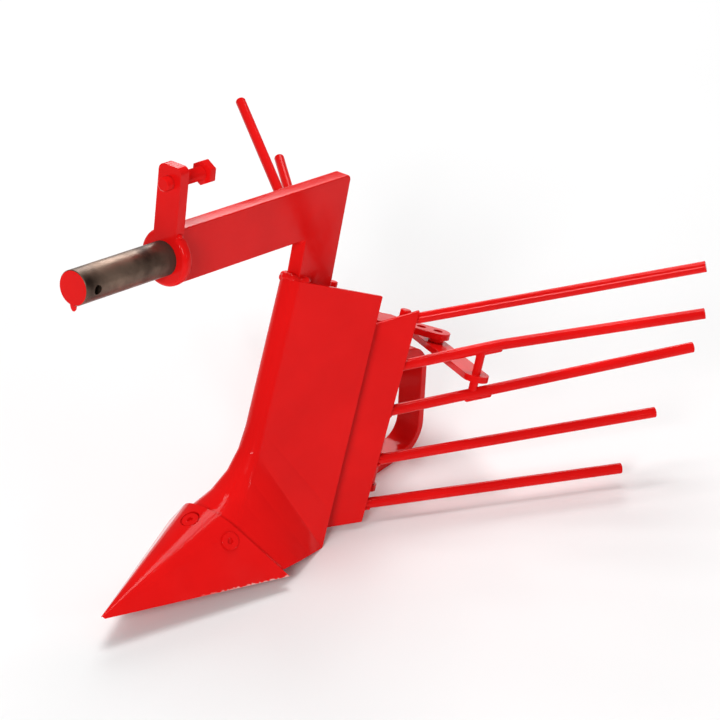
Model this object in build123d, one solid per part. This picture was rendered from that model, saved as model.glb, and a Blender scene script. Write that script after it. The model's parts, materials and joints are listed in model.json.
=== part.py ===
"""Potato lifting ridger for a walking tractor.

Everything is laid out on the drawbar: its origin is the front end of the hitch shaft,
+Y runs back along the bar, +X is the left hand of the implement and +Z is up.
The hinged wings, yokes and links follow a second set of axes (x, v, w) that leans back
with the body: v runs back and down, w runs up along the hinge pins.
At the end the whole implement is turned to the attitude in which it parks on the floor.
"""
import os
from math import asin, atan2, cos, degrees, hypot, radians, sin, tan

from build123d import *

# Hitch shaft
SHAFT_D = 30.0
SHAFT_LENGTH = 118.0
SHAFT_CHAMFER = 1.0
SHAFT_SEAT_D = 28.0
SHAFT_HOLE_D = 8.2
SHAFT_HOLE_FROM_END = 14.0

# Angle lever with its collar, and the set bolt
LEVER_T = 10.0
LEVER_W = 24.5
LEVER_TOP = 81.0
LEVER_CORNER_R = 6.0
COLLAR_D = 50.0
COLLAR_FIT = 0.1
SET_BOLT_D = 12.0
SET_BOLT_Z = 66.0
SET_BOLT_LENGTH = 48.0
SET_BOLT_TIP = 8.0
SET_BOLT_AF = 19.0
SET_BOLT_HEAD = 7.5
SET_BOLT_CHAMFER = 1.2
SET_BOLT_FIT = 0.1

# Drawbar and shank, both cut from flat bar
BAR_H = 49.0
BAR_T = 14.0
BAR_REAR_Y = 347.0
BAR_CORNER_R = 5.0
SHANK_W = 50.0
SHANK_LEAN = 7.3
SHANK_FOOT_Z = -296.0

# Mouldboards: a straight leaning nose that bends forward into an apron under the share
BOARD_T = 4.0
NOSE_R = 13.0
NOSE_TOP = (277.5, -59.0)
NOSE_LEAN = 11.5
NOSE_BEND_R = 95.0
BEND_STEPS = 4
BOARD_REAR_TOP = (47.9, 357.7, -81.2)
BOARD_REAR_LOW = (48.6, 315.1, -278.9)
BOARD_REAR_FOOT = (52.7, 302.0, -311.0)
APRON_UNDER = 34.0
APRON_WIDTH = 0.91

# Share
SHARE_T = 5.0
SHARE_RIDGE_R = 40.0
SHARE_TIP = (63.0, -322.0)
SHARE_APEX = (193.7, -256.0)
SHARE_CORNER = (71.2, 232.6, -308.7)
SHARE_POINT_T = 0.6
SHARE_BLUNT = 5.0
SHARE_SEAT = 0.3

# Leaning axes shared by wings, yokes, hinge pins and links
BODY_LEAN = 11.0

# Wing plates: u runs outward from the rear top corner, w along the hinge, back from the front face
WING_ANGLE = 38.0
WING_T = 4.0
WING_CORNER = (64.3, 405.5)
WING_FRONT_U = -43.0
WING_TOP_REAR_W = -21.8
WING_TOP_FRONT_W = -42.3
WING_FOOT_REAR_U = -7.9
WING_FOOT_REAR_W = -225.3
WING_FOOT_FRONT_W = -236.2

# Lifting rods welded to the backs of the wings
ROD_D = 10.0
ROD_BACK = WING_T + ROD_D / 2
ROD_START_U = -30.0
ROD_BEND_R = 60.0
# rod: start, any bend and end as (u, w, back)
ROD_TABLE = {
    "rod_1": ((1.0, -31.4, 9.1), (219.1, 79.4, -90.2)),
    "rod_2": ((ROD_START_U, -87.0, ROD_BACK), (83.7, -44.1, ROD_BACK), (252.4, 26.3, -40.2)),
    "rod_3": ((ROD_START_U, -129.9, ROD_BACK), (271.7, -17.9, ROD_BACK)),
    "rod_4": ((ROD_START_U, -175.6, ROD_BACK), (253.6, -86.3, 15.0)),
    "rod_5": ((ROD_START_U, -217.0, 9.3), (231.1, -142.5, 7.7)),
}

# Hinges: two yokes on the body, a sleeve on each wing and a pin through all
HINGE_U = -5.0
HINGE_BACK = 23.5
HINGE_PIN_D = 10.0
HINGE_PIN_FIT = 0.1
HINGE_PIN_TOP = 12.0
HINGE_PIN_FOOT = 6.0
SLEEVE_D = 16.0
SLEEVE_END_PLAY = 0.4
WEB_T = 6.0
WEB_W = 14.0
WEB_U = -12.0
WEB_LEVELS_W = (-60.0, -190.0)
YOKE_T = 6.0
YOKE_EAR_R = 10.0
YOKE_NECK_HALF_W = 12.0
YOKE_NECK_V = 368.0
YOKE_NOTCH_DEPTH = 21.4
# yoke: height w of its top face, v and half width of its front edge
YOKE_TABLE = {"yoke_upper": (-40.0, 340.0, 35.0), "yoke_lower": (-194.0, 346.0, 40.0)}

# Link pins on the rods, and the two links that are bolted to each other to set the width
LINK_PIN_D = 8.0
LINK_PIN_U = 69.7
LINK_PIN_FIT = 0.1
LINK_W = 24.0
LINK_T = 6.0
LINK_REACH = 128.2
LINK_HOLE_D = 9.0
LINK_HOLE_PITCH = 16.4
LINK_HOLES = 3
LINK_HEADING = 23.0
LINK_TOP_W = {"left": -73.5, "right": -63.0}
SPACER_D = 15.0
SPACER_PLAY = 0.3

# Rear brace: a C of flat strap from the shank round to the sole
STRAP_W = 26.0
STRAP_T = 8.0
STRAP_TOP_Y = 485.0
STRAP_FOOT_Y = 494.0
STRAP_BEND_R = 24.0
STRAP_LINK_GAP = 1.0
SOLE_FRONT_Y = 302.0

# Parking attitude: nose up, on the feet of the mouldboards and on the sole
PARK_PITCH = 9.0

SIDES = {"left": 1, "right": -1}


def lean_plane(y, z, tilt):
    """Plane across the body: local X is left, local Y runs back and down by the tilt."""
    t = radians(tilt)
    return Plane(origin=(0, y, z), x_dir=(1, 0, 0), z_dir=(0, sin(t), cos(t)))


LEAN = lean_plane(0, 0, BODY_LEAN)


def floor_z(y):
    """Height of the floor below the drawbar at y, with the implement parked."""
    return BOARD_REAR_FOOT[2] + (y - BOARD_REAR_FOOT[1]) * tan(radians(PARK_PITCH))


def side_prism(points, width):
    """Solid of a side view (Y, Z points), centred on the plane of symmetry."""
    face = make_face(Polyline(*[(0, y, z) for y, z in points], close=True))
    return extrude(face, amount=width / 2, dir=(1, 0, 0), both=True)


def on_side(solid, side):
    """The left-hand solid itself, or its right-hand image."""
    return solid if side > 0 else mirror(solid, about=Plane.YZ)


def upright(x, v, low, high, diameter):
    """Round bar along the hinge direction on the leaning axes."""
    return LEAN * Pos(x, v, low) * extrude(Circle(diameter / 2), amount=high - low)


def along_y(solid, y, z):
    """Turn a solid drawn along +Z so that it runs back along +Y from the given place."""
    return Pos(0, y, z) * Rot(X=-90) * solid


# Hitch shaft, lever and set bolt
def make_shaft():
    bar = extrude(Circle(SHAFT_D / 2), amount=SHAFT_LENGTH - LEVER_T)
    bar = chamfer(bar.edges().sort_by(Axis.Z)[0], SHAFT_CHAMFER)
    bar += extrude(Circle(SHAFT_SEAT_D / 2), amount=SHAFT_LENGTH)
    hole = Pos(0, SHAFT_HOLE_FROM_END, 0) * Rot(Y=90) * Cylinder(SHAFT_HOLE_D / 2, SHAFT_D * 2)
    return along_y(bar, 0, 0) - hole


def make_lever():
    blade = Pos(0, LEVER_TOP / 2) * Rectangle(LEVER_W, LEVER_TOP)
    blade = fillet(blade.vertices().sort_by(Axis.Y)[-2:], LEVER_CORNER_R)
    outline = blade + Circle(COLLAR_D / 2) - Circle(SHAFT_SEAT_D / 2 + COLLAR_FIT)
    outline -= Pos(0, SET_BOLT_Z) * Circle(SET_BOLT_D / 2 + SET_BOLT_FIT)
    return Pos(0, SHAFT_LENGTH, 0) * Rot(X=90) * extrude(outline, amount=LEVER_T)


def make_set_bolt():
    shank = extrude(Circle(SET_BOLT_D / 2), amount=SET_BOLT_LENGTH)
    shank = chamfer(shank.edges().sort_by(Axis.Z)[0], SET_BOLT_CHAMFER)
    head = extrude(RegularPolygon(SET_BOLT_AF / 2, 6, major_radius=False), amount=SET_BOLT_HEAD)
    bolt = shank + Pos(0, 0, SET_BOLT_LENGTH) * head
    return along_y(bolt, SHAFT_LENGTH - LEVER_T - SET_BOLT_TIP, SET_BOLT_Z)


# Drawbar and shank
def shank_rear_y(z):
    """Rear edge of the shank at a height."""
    return BAR_REAR_Y + (z - BAR_H / 2) * tan(radians(SHANK_LEAN))


def make_drawbar():
    half = BAR_H / 2
    rear_foot = (shank_rear_y(-half), -half)
    bar = side_prism([(SHAFT_LENGTH, -half), rear_foot, (BAR_REAR_Y, half), (SHAFT_LENGTH, half)], BAR_T)
    return fillet(bar.edges().filter_by(Axis.X).sort_by(Axis.Y)[-1], BAR_CORNER_R)


def make_shank():
    run = SHANK_W / cos(radians(SHANK_LEAN))
    top, foot = -BAR_H / 2, SHANK_FOOT_Z
    points = [(shank_rear_y(z) - shift, z) for z, shift in ((top, run), (top, 0), (foot, 0), (foot, run))]
    return side_prism(points, BAR_T)


# Mouldboards and share, lofted through bent V sections
def vee_half(reach, half_width, nose_r, thickness, drop=0.0, width=1.0):
    """Left half of a V of bent plate: local X left, local Y back from the rounded nose.

    The plate lies a drop inside the V through (0, 0) and (half_width, reach),
    and covers that much of its width.
    """
    span = hypot(half_width, reach - nose_r)
    flare = atan2(half_width, reach - nose_r) - asin(nose_r / span)
    middle = (flare + radians(90)) / 2
    trim = (1 - width) * hypot(half_width, reach)

    def on_nose(radius, angle):
        return radius * cos(angle), nose_r - radius * sin(angle)

    def on_end(depth):
        across, back = half_width - trim * sin(flare), reach - trim * cos(flare)
        return across - depth * cos(flare), back + depth * sin(flare)

    outer, inner = nose_r - drop, nose_r - drop - thickness
    outer_end, inner_end = on_end(drop), on_end(drop + thickness)
    outline = Curve() + [
        ThreePointArc(on_nose(outer, radians(90)), on_nose(outer, middle), on_nose(outer, flare)),
        Line(on_nose(outer, flare), outer_end),
        Line(outer_end, inner_end),
        Line(inner_end, on_nose(inner, flare)),
        ThreePointArc(on_nose(inner, flare), on_nose(inner, middle), on_nose(inner, radians(90))),
        Line(on_nose(inner, radians(90)), on_nose(outer, radians(90))),
    ]
    return make_face(outline)


def vee_to(nose, target, nose_r, thickness, drop=0.0, width=1.0):
    """V section from a nose point (y, z) out to a target point (x, y, z)."""
    back, down = target[1] - nose[0], nose[1] - target[2]
    tilt = degrees(atan2(down, back))
    return lean_plane(*nose, tilt) * vee_half(hypot(back, down), target[0], nose_r, thickness, drop, width)


SHARE_RIDGE = hypot(SHARE_APEX[0] - SHARE_TIP[0], SHARE_APEX[1] - SHARE_TIP[1])
SHARE_SLOPE = atan2(SHARE_APEX[1] - SHARE_TIP[1], SHARE_APEX[0] - SHARE_TIP[0])
APRON_DROP = SHARE_T + SHARE_SEAT
APRON_APEX = (SHARE_APEX[0] + APRON_DROP * sin(SHARE_SLOPE), SHARE_APEX[1] - APRON_DROP * cos(SHARE_SLOPE))


def share_apex(forward):
    """Point (y, z) on the ridge of the share, forward of its rear edge."""
    return SHARE_APEX[0] - forward * cos(SHARE_SLOPE), SHARE_APEX[1] - forward * sin(SHARE_SLOPE)


def share_corner(forward, width=1.0):
    """Outer end (x, y, z) of a section of the share, or a point that far across it."""
    size = 1 - forward / SHARE_RIDGE
    corner = [t + (c - t) * size for t, c in zip((0, *SHARE_TIP), SHARE_CORNER)]
    return tuple(a + (c - a) * width for a, c in zip((0, *share_apex(forward)), corner))


def share_section(forward, thickness, drop=0.0, width=1.0):
    """V section of the share, or of the apron a drop below it, forward of the share's rear edge."""
    nose_r = SHARE_RIDGE_R * (1 - forward / SHARE_RIDGE)
    plate = min(thickness, nose_r * SHARE_POINT_T)
    return vee_to(share_apex(forward), share_corner(forward), nose_r, plate, drop, width)


def nose_bend():
    """Arc (y, z) that leads the leaning nose forward into the ridge of the apron."""
    lean = radians(NOSE_LEAN)
    ahead, down = NOSE_TOP[0] - APRON_APEX[0], NOSE_TOP[1] - APRON_APEX[1]
    behind = (ahead * cos(lean) - down * sin(lean)) / cos(lean + SHARE_SLOPE)
    corner = (APRON_APEX[0] + behind * cos(SHARE_SLOPE), APRON_APEX[1] + behind * sin(SHARE_SLOPE))
    turn = radians(90) - lean - SHARE_SLOPE
    cut = NOSE_BEND_R * tan(turn / 2)
    centre = (corner[0] + cut * sin(lean) - NOSE_BEND_R * cos(lean),
              corner[1] + cut * cos(lean) + NOSE_BEND_R * sin(lean))
    angles = [lean + turn * step / BEND_STEPS for step in range(BEND_STEPS + 1)]
    return [(centre[0] + NOSE_BEND_R * cos(a), centre[1] - NOSE_BEND_R * sin(a)) for a in angles]


def make_mouldboard(side):
    bend = nose_bend()
    behind = (bend[-1][0] - APRON_APEX[0]) / cos(SHARE_SLOPE)
    corner, foot = share_corner(-behind, APRON_WIDTH), BOARD_REAR_FOOT
    straight = ((NOSE_TOP, BOARD_REAR_TOP), (bend[0], BOARD_REAR_LOW))
    sections = [vee_to(nose, rear, NOSE_R, BOARD_T) for nose, rear in straight]
    for step in range(1, BEND_STEPS):
        edge = tuple(f + (c - f) * (step - 1) / (BEND_STEPS - 1) for f, c in zip(foot, corner))
        nose_r = NOSE_R + (SHARE_RIDGE_R - NOSE_R) * (step / BEND_STEPS) ** 3
        sections.append(vee_to(bend[step], edge, nose_r, BOARD_T))
    sections += [share_section(f, BOARD_T, APRON_DROP, APRON_WIDTH) for f in (-behind, APRON_UNDER)]
    below_floor = [(y, floor_z(y) + shift) for y, shift in ((SHARE_TIP[0], 0), (STRAP_FOOT_Y, 0),
                                                           (STRAP_FOOT_Y, -BAR_H), (SHARE_TIP[0], -BAR_H))]
    board = loft(sections, ruled=True) - side_prism(below_floor, 4 * SHARE_CORNER[0])
    return on_side(board, side)


def make_share():
    half = loft([share_section(f, SHARE_T) for f in (0, SHARE_RIDGE - SHARE_BLUNT)], ruled=True)
    return half + on_side(half, -1)


# Hinged wings and what is welded to them
def wing_point(u, back):
    """Leaning coordinates (x, v) of a point on a left wing: u outward, back from its front face."""
    a = radians(WING_ANGLE)
    return WING_CORNER[0] + u * sin(a) - back * cos(a), WING_CORNER[1] + u * cos(a) + back * sin(a)


def wing_frame():
    """Front face of a left wing: local X outward (u), local Y up the hinge (w), local Z forward."""
    a = radians(WING_ANGLE)
    return LEAN * Plane(origin=(*WING_CORNER, 0), x_dir=(sin(a), cos(a), 0), z_dir=(cos(a), -sin(a), 0))


HINGE_X, HINGE_V = wing_point(HINGE_U, HINGE_BACK)
LINK_PIN_X, LINK_PIN_V = wing_point(LINK_PIN_U, ROD_BACK)
LINK_JOINT = (LINK_REACH * cos(radians(LINK_HEADING)) - LINK_PIN_X,
              LINK_REACH * sin(radians(LINK_HEADING)) + LINK_PIN_V)


def make_wing(side):
    outline = Polyline(
        (0, WING_TOP_REAR_W),
        (WING_FOOT_REAR_U, WING_FOOT_REAR_W),
        (WING_FRONT_U, WING_FOOT_FRONT_W),
        (WING_FRONT_U, WING_TOP_FRONT_W),
        close=True,
    )
    return on_side(extrude(wing_frame() * make_face(outline), amount=-WING_T), side)


def rod_level(rod, u):
    """Height w of the first straight length of a rod at u."""
    (u0, w0, _), (u1, w1, _) = ROD_TABLE[rod][:2]
    return w0 + (w1 - w0) * (u - u0) / (u1 - u0)


def make_rod(side, rod):
    points = [(u, w, -back) for u, w, back in ROD_TABLE[rod]]
    path = Line(*points) if len(points) == 2 else FilletPolyline(*points, radius=ROD_BEND_R)
    route = wing_frame() * path
    return on_side(sweep(Plane(route @ 0, z_dir=route % 0) * Circle(ROD_D / 2), path=route), side)


def make_sleeve(side):
    low = YOKE_TABLE["yoke_lower"][0] + SLEEVE_END_PLAY
    high = YOKE_TABLE["yoke_upper"][0] - YOKE_T - SLEEVE_END_PLAY
    sleeve = upright(HINGE_X, HINGE_V, low, high, SLEEVE_D)
    for level in WEB_LEVELS_W:
        web = wing_frame() * Pos(WEB_U, level + WEB_T / 2, -WING_T) * Rectangle(WEB_W, WEB_T)
        sleeve += extrude(web, amount=WING_T - HINGE_BACK)
    return on_side(sleeve - upright(HINGE_X, HINGE_V, low, high, HINGE_PIN_D + 2 * HINGE_PIN_FIT), side)


def make_link_pin(side):
    low, high = rod_level("rod_3", LINK_PIN_U), rod_level("rod_2", LINK_PIN_U)
    pin = on_side(upright(LINK_PIN_X, LINK_PIN_V, low, high, LINK_PIN_D), side)
    return pin - make_rod(side, "rod_2") - make_rod(side, "rod_3")


# Yokes and hinge pins on the body
def make_yoke(top, front_v, front, body):
    neck = YOKE_NECK_HALF_W
    ears = [Pos(x, HINGE_V) * Circle(YOKE_EAR_R) for x in (HINGE_X, -HINGE_X)]
    neck_line = Line((-neck, YOKE_NECK_V), (neck, YOKE_NECK_V))
    outline = make_hull([edge for ear in ears for edge in ear.edges()] + [neck_line])
    outline += make_face(Polyline(
        (-front, front_v), (front, front_v), (neck, YOKE_NECK_V), (-neck, YOKE_NECK_V), close=True))
    reach = 2 * HINGE_X
    notch_v = HINGE_V + YOKE_EAR_R - YOKE_NOTCH_DEPTH
    notch = [(0, notch_v), (reach, notch_v + reach), (-reach, notch_v + reach)]
    outline -= make_face(Polyline(*notch, close=True))
    for x in (HINGE_X, -HINGE_X):
        outline -= Pos(x, HINGE_V) * Circle(HINGE_PIN_D / 2 + HINGE_PIN_FIT)
    return extrude(LEAN * Pos(0, 0, top) * outline, amount=-YOKE_T) - body


def make_hinge_pin(side):
    high = YOKE_TABLE["yoke_upper"][0] + HINGE_PIN_TOP
    low = YOKE_TABLE["yoke_lower"][0] - YOKE_T - HINGE_PIN_FOOT
    return on_side(upright(HINGE_X, HINGE_V, low, high, HINGE_PIN_D), side)


# Links
def make_link(name):
    side, top = SIDES[name], LINK_TOP_W[name]
    heading = degrees(atan2(LINK_JOINT[1] - LINK_PIN_V, side * LINK_JOINT[0] - LINK_PIN_X))
    outline = Pos(LINK_REACH / 2, 0) * SlotCenterToCenter(LINK_REACH, LINK_W)
    outline -= Circle(LINK_PIN_D / 2 + LINK_PIN_FIT)
    for step in range(LINK_HOLES):
        outline -= Pos(LINK_REACH - step * LINK_HOLE_PITCH, 0) * Circle(LINK_HOLE_D / 2)
    bar = extrude(Pos(LINK_PIN_X, LINK_PIN_V, top) * Rot(Z=heading) * outline, amount=-LINK_T)
    return on_side(LEAN * bar, side)


def make_link_spacer():
    low, high = LINK_TOP_W["left"] + SPACER_PLAY, LINK_TOP_W["right"] - LINK_T
    return upright(*LINK_JOINT, low, high, SPACER_D) - upright(*LINK_JOINT, low, high, LINK_HOLE_D)


# Rear brace
def make_brace(shank):
    top_w = min(LINK_TOP_W.values()) - LINK_T - STRAP_LINK_GAP - STRAP_T / 2
    lean = radians(BODY_LEAN)
    front_y = shank_rear_y(BOARD_REAR_LOW[2]) - STRAP_T

    def on_top(y):
        return y, (top_w - y * sin(lean)) / cos(lean)

    def on_sole(y):
        return y, floor_z(y) + STRAP_T / 2 / cos(radians(PARK_PITCH))

    corners = (on_top(front_y), on_top(STRAP_TOP_Y), on_sole(STRAP_FOOT_Y), on_sole(SOLE_FRONT_Y))
    path = FilletPolyline(*[(0, *corner) for corner in corners], radius=STRAP_BEND_R)
    section = Plane(path @ 0, x_dir=(1, 0, 0), z_dir=path % 0) * Rectangle(STRAP_W, STRAP_T)
    return sweep(section, path=path) - shank


def build_nodes():
    """All pieces by name, laid out on the drawbar."""
    shank = make_shank()
    boards = {f"mouldboard_{name}": make_mouldboard(side) for name, side in SIDES.items()}
    nodes = {
        "hitch_shaft": make_shaft(),
        "lever": make_lever(),
        "set_bolt": make_set_bolt(),
        "drawbar": make_drawbar(),
        "shank": shank,
        "share": make_share(),
        "brace": make_brace(shank),
        "link_spacer": make_link_spacer(),
        **boards,
    }
    for name, places in YOKE_TABLE.items():
        nodes[name] = make_yoke(*places, [shank, *boards.values()])
    for name, side in SIDES.items():
        nodes[f"hinge_pin_{name}"] = make_hinge_pin(side)
        nodes[f"wing_{name}"] = make_wing(side)
        nodes[f"hinge_sleeve_{name}"] = make_sleeve(side)
        nodes[f"link_pin_{name}"] = make_link_pin(side)
        for rod in ROD_TABLE:
            nodes[f"{rod}_{name}"] = make_rod(side, rod)
        nodes[f"link_{name}"] = make_link(name)
    return nodes


def park(nodes):
    """Turn the implement to its parking attitude, centred over the origin with the floor at Z = 0."""
    turned = {name: Rot(X=-PARK_PITCH) * solid for name, solid in nodes.items()}
    boxes = [solid.bounding_box() for solid in turned.values()]
    middle_y = (min(b.min.Y for b in boxes) + max(b.max.Y for b in boxes)) / 2
    low_z = min(b.min.Z for b in boxes)
    shift = Pos(0, -middle_y, -low_z)
    return {name: shift * solid for name, solid in turned.items()}, shift * Rot(X=-PARK_PITCH)


if __name__ == "__main__":
    os.makedirs("parts", exist_ok=True)
    parked, placement = park(build_nodes())
    for node, solid in parked.items():
        export_step(solid, f"parts/{node}.step")
    print("placement", placement.position, placement.orientation)
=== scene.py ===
"""Dresses the potato lifting ridger: softened painted steel, weld beads, fasteners and studio light."""

import json
import logging
import math
from dataclasses import dataclass, field
from enum import Enum

import bpy
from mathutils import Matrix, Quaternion, Vector

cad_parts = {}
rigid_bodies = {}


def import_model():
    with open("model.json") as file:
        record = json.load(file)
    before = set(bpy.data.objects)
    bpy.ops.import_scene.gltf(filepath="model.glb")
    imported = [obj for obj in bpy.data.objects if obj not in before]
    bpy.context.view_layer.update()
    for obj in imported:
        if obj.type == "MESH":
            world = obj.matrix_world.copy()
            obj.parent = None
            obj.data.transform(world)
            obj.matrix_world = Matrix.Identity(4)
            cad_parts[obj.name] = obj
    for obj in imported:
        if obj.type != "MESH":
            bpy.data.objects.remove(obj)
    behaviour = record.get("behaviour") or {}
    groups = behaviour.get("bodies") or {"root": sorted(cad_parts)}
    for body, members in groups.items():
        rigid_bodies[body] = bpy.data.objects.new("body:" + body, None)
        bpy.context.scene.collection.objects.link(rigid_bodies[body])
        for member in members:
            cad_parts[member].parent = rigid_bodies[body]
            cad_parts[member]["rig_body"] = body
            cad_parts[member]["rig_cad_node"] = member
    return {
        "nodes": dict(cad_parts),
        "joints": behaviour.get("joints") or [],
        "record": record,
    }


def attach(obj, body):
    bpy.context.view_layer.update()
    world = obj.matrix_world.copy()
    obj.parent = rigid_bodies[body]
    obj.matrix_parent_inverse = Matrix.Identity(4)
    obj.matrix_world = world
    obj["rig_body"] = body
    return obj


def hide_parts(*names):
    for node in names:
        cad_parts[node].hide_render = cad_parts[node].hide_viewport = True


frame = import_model()

LOG = logging.getLogger("ridger")
MM = 0.001
LEFTWARD = Vector((1, 0, 0))

Pair = tuple[float, float]
Colour = tuple[float, float, float]
Point = tuple[float, float, float]
Lines = list[list[Vector]]
Socket = bpy.types.NodeSocket
Material = bpy.types.Material
Piece = bpy.types.Object


class Side(Enum):
    """The two hands of the implement, each with the sign of its X."""

    LEFT = 1
    RIGHT = -1

    @property
    def label(self) -> str:
        """The side's name as the nodes and bodies carry it.

        Returns:
            The name in lower case.
        """
        return self.name.lower()


class Slot(Enum):
    """Material slots of the record."""

    PAINT = "red_paint"
    STEEL = "bare_steel"


# Where things are
@dataclass(frozen=True)
class Layout:
    """Turns places on the implement into the row frame.

    The drawbar axes start at the front end of the hitch shaft and run left, back and up.
    The leaning axes share their start, and their third axis runs up the hinge pins.
    A wing's own axes run outward from its rear top corner, up the hinge and back from its face.
    """

    origin: Vector
    bar_back: Vector
    lean_up: Vector
    wing_corner: Pair = (64.3, 405.5)
    wing_angle: float = math.radians(38.0)
    mount_depth: float = 1.5

    @classmethod
    def from_record(cls, record: dict, joints: list[dict]) -> "Layout":
        """Reads the axes from the hitch mount and a wing hinge.

        Args:
            record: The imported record.
            joints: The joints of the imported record.

        Returns:
            The layout of this pack.
        """
        hitch = next(m for m in record["mounts"] if m["name"] == "hitch_shaft")
        hinge = next(j for j in joints if j["name"] == "wing_right_hinge")
        back = -Vector(hitch["axis"])
        return cls(Vector(hitch["pos_m"]) - back * cls.mount_depth * MM, back, Vector(hinge["axis"]))

    def bar(self, x: float, y: float, z: float, up: Vector | None = None) -> Vector:
        """A point on the drawbar axes, in millimetres.

        Args:
            x: Distance to the left.
            y: Distance backward.
            z: Distance upward.
            up: The third axis, where it leans.

        Returns:
            The point in the row frame.
        """
        up = LEFTWARD.cross(self.bar_back) if up is None else up
        return self.origin + (LEFTWARD * x + up.cross(LEFTWARD) * y + up * z) * MM

    def on_bar(self, point: Vector) -> Vector:
        """A point's distances along the drawbar axes, in millimetres.

        Args:
            point: The point in the row frame.

        Returns:
            The three distances.
        """
        step = (point - self.origin) / MM
        return Vector((step.x, step.dot(self.bar_back), step.dot(LEFTWARD.cross(self.bar_back))))

    def lean(self, x: float, v: float, w: float) -> Vector:
        """A point on the leaning axes, in millimetres.

        Args:
            x: Distance to the left.
            v: Distance backward.
            w: Distance upward.

        Returns:
            The point in the row frame.
        """
        return self.bar(x, v, w, self.lean_up)

    def wing(self, side: Side, u: float, w: float, back: float) -> Vector:
        """A point on a wing's own axes, in millimetres.

        Args:
            side: The wing's side.
            u: Distance outward.
            w: Distance up the hinge.
            back: Distance behind the face.

        Returns:
            The point in the row frame.
        """
        sine, cosine = math.sin(self.wing_angle), math.cos(self.wing_angle)
        x = self.wing_corner[0] + u * sine - back * cosine
        v = self.wing_corner[1] + u * cosine + back * sine
        return self.lean(side.value * x, v, w)


# Finishes
class Graph:
    """A material's node tree, with short ways to add and link nodes."""

    def __init__(self, name: str) -> None:
        """Starts an empty material.

        Args:
            name: The material's name.
        """
        self.material = bpy.data.materials.new(name)
        self.material.use_nodes = True
        self.tree = self.material.node_tree
        self.tree.nodes.clear()
        self.coords = self.add("ShaderNodeTexCoord").outputs["Object"]

    def add(self, kind: str, **settings: object) -> bpy.types.Node:
        """Adds a node and sets its properties.

        Args:
            kind: The node's type.
            **settings: Properties of the node.

        Returns:
            The new node.
        """
        node = self.tree.nodes.new(kind)
        for key, value in settings.items():
            setattr(node, key, value)
        return node

    def link(self, source: Socket, target: Socket) -> None:
        """Joins an output to an input.

        Args:
            source: The output.
            target: The input.
        """
        self.tree.links.new(source, target)

    def noise(self, scale: float, detail: float, vector: Socket | None = None) -> Socket:
        """Adds noise on Object coordinates.

        Args:
            scale: Grains per metre.
            detail: Octaves.
            vector: Other coordinates, where the pattern is turned or stretched.

        Returns:
            The noise value.
        """
        node = self.add("ShaderNodeTexNoise")
        node.inputs["Scale"].default_value = scale
        node.inputs["Detail"].default_value = detail
        self.link(vector or self.coords, node.inputs["Vector"])
        return node.outputs["Fac"]

    def ramp(self, value: Socket, places: Pair, colours: tuple[Colour, Colour]) -> Socket:
        """Maps a value to a blend of two colours.

        Args:
            value: The value from 0 to 1.
            places: The values at which each colour is reached.
            colours: The two linear colours.

        Returns:
            The colour.
        """
        node = self.add("ShaderNodeValToRGB")
        for element, place, colour in zip(node.color_ramp.elements, places, colours):
            element.position = place
            element.color = (*colour, 1.0)
        self.link(value, node.inputs["Fac"])
        return node.outputs["Color"]

    def span(self, value: Socket, low: float, high: float,
             start: float = 0.3, end: float = 0.7) -> Socket:
        """Maps a value from one span to another, clamped.

        Args:
            value: The value.
            low: The result at the start of its span.
            high: The result at the end of its span.
            start: Where its span starts.
            end: Where its span ends.

        Returns:
            The mapped value.
        """
        node = self.add("ShaderNodeMapRange")
        for key, number in (("From Min", start), ("From Max", end), ("To Min", low), ("To Max", high)):
            node.inputs[key].default_value = number
        self.link(value, node.inputs["Value"])
        return node.outputs["Result"]

    def turned(self, pitch: float, origin: Vector) -> Socket:
        """Object coordinates moved to a place and turned about X.

        Args:
            pitch: The angle in radians.
            origin: The place that becomes zero.

        Returns:
            The turned coordinates.
        """
        node = self.add("ShaderNodeMapping", vector_type="TEXTURE")
        node.inputs["Location"].default_value = origin
        node.inputs["Rotation"].default_value = (pitch, 0, 0)
        self.link(self.coords, node.inputs["Vector"])
        return node.outputs["Vector"]

    def bump(self, height: Socket, distance: float, strength: float,
             under: Socket | None = None) -> Socket:
        """Turns a height into a normal.

        Args:
            height: The height value.
            distance: What a height of one measures, in metres.
            strength: How much of it shows.
            under: The normal of a coarser bump below.

        Returns:
            The bumped normal.
        """
        node = self.add("ShaderNodeBump")
        node.inputs["Distance"].default_value = distance
        node.inputs["Strength"].default_value = strength
        self.link(height, node.inputs["Height"])
        if under:
            self.link(under, node.inputs["Normal"])
        return node.outputs["Normal"]

    def surface(self, **values: float) -> bpy.types.Node:
        """Adds a Principled shader with plain values on its sockets.

        Args:
            **values: Socket names, with underscores for spaces.

        Returns:
            The shader node.
        """
        node = self.add("ShaderNodeBsdfPrincipled")
        for key, value in values.items():
            node.inputs[key.replace("_", " ")].default_value = value
        return node

    def mix(self, share: Socket, under: Socket, over: Socket) -> Socket:
        """Mixes two shaders.

        Args:
            share: How much of the upper shader shows, from 0 to 1.
            under: The lower shader.
            over: The upper shader.

        Returns:
            The mixed shader.
        """
        node = self.add("ShaderNodeMixShader")
        for index, source in enumerate((share, under, over)):
            self.link(source, node.inputs[index])
        return node.outputs["Shader"]

    def finish(self, shader: Socket) -> Material:
        """Ends the graph in the material output.

        Args:
            shader: The shader that the material shows.

        Returns:
            The material.
        """
        self.link(shader, self.add("ShaderNodeOutputMaterial").inputs["Surface"])
        return self.material


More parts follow.
